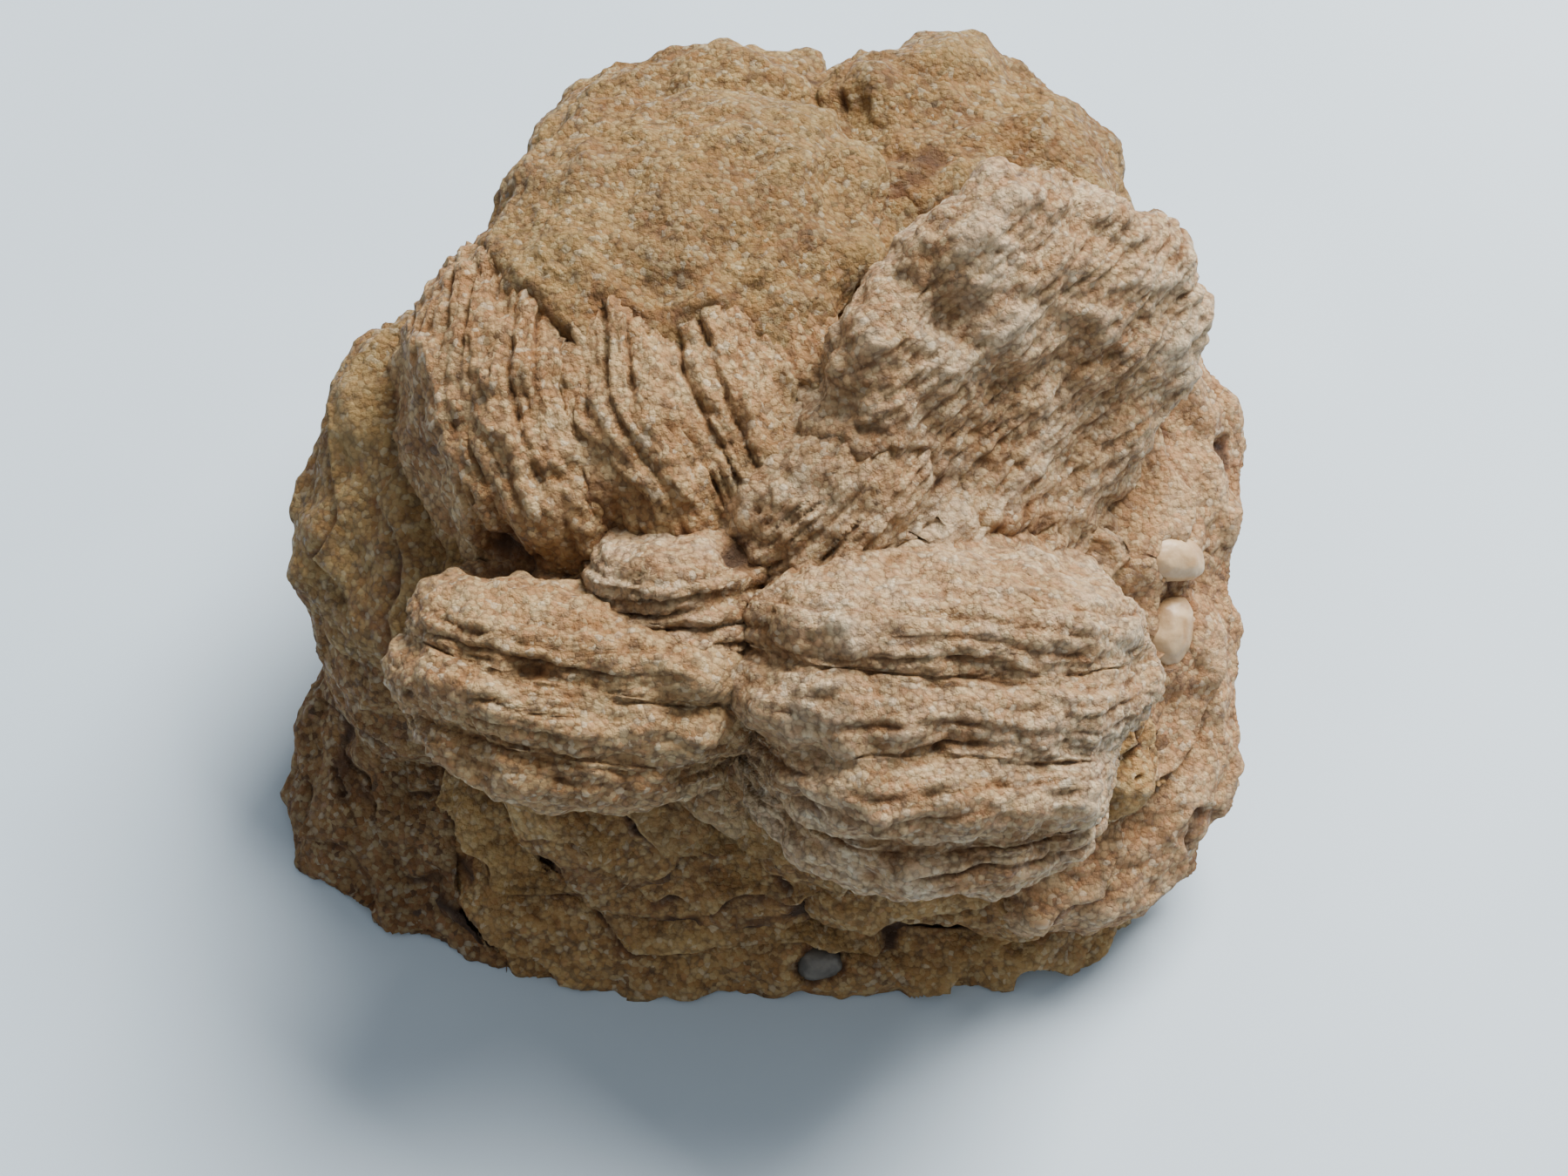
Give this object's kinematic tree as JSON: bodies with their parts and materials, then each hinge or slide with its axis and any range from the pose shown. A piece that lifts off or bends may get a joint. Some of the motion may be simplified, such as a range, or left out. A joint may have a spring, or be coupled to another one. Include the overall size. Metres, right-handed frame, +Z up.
{
  "type": "baryte rose",
  "caption": "Rosette of sand-filled baryte blades grown into one another, with ribbed books of crystal sheets and a raised crest on its open face.",
  "frame": {"origin": "on the resting surface, under the middle of the rosette's bounding box", "axes": "+Z up; +X across the rosette, to the right of a viewer who faces its open side; -Y towards that viewer"},
  "size_m": [0.062, 0.0584, 0.0446],
  "materials": {
    "sandy_baryte": "rough, grainy, sand-filled crystal",
    "white_quartz": "smooth water-worn pebble",
    "grey_chert": "dull dark chip"
  },
  "bodies": {
    "root": {"white_pebble_pointed": "white_quartz", "white_pebble_round": "white_quartz", "white_quartz_grain": "white_quartz", "grey_chert_chip": "grey_chert", "grey_chert_grain": "grey_chert", "middle_bridge": "sandy_baryte", "crest_blade": "sandy_baryte", "crest_foot": "sandy_baryte", "right_fan": "sandy_baryte", "left_tongue": "sandy_baryte", "shoulder_blade": "sandy_baryte", "right_ribs": "sandy_baryte", "left_ribs": "sandy_baryte", "crest_root": "sandy_baryte", "seam_blade": "sandy_baryte", "valley_blade": "sandy_baryte", "upper_left_plate": "sandy_baryte", "upper_right_plate": "sandy_baryte", "upper_right_ledge": "sandy_baryte", "left_plate": "sandy_baryte", "left_lower_plate": "sandy_baryte", "left_upper_plate": "sandy_baryte", "front_flake_upper": "sandy_baryte", "front_flake_lower": "sandy_baryte", "fan_ledge": "sandy_baryte", "fan_lower_ledge": "sandy_baryte", "front_plate": "sandy_baryte", "lower_left_plate": "sandy_baryte", "right_plate": "sandy_baryte", "right_upper_plate": "sandy_baryte", "back_plate": "sandy_baryte", "back_left_plate": "sandy_baryte", "back_right_plate": "sandy_baryte", "back_left_foot": "sandy_baryte", "back_right_foot": "sandy_baryte", "left_side_plate": "sandy_baryte", "right_side_plate": "sandy_baryte", "under_plate": "sandy_baryte"}
  },
  "joints": []
}
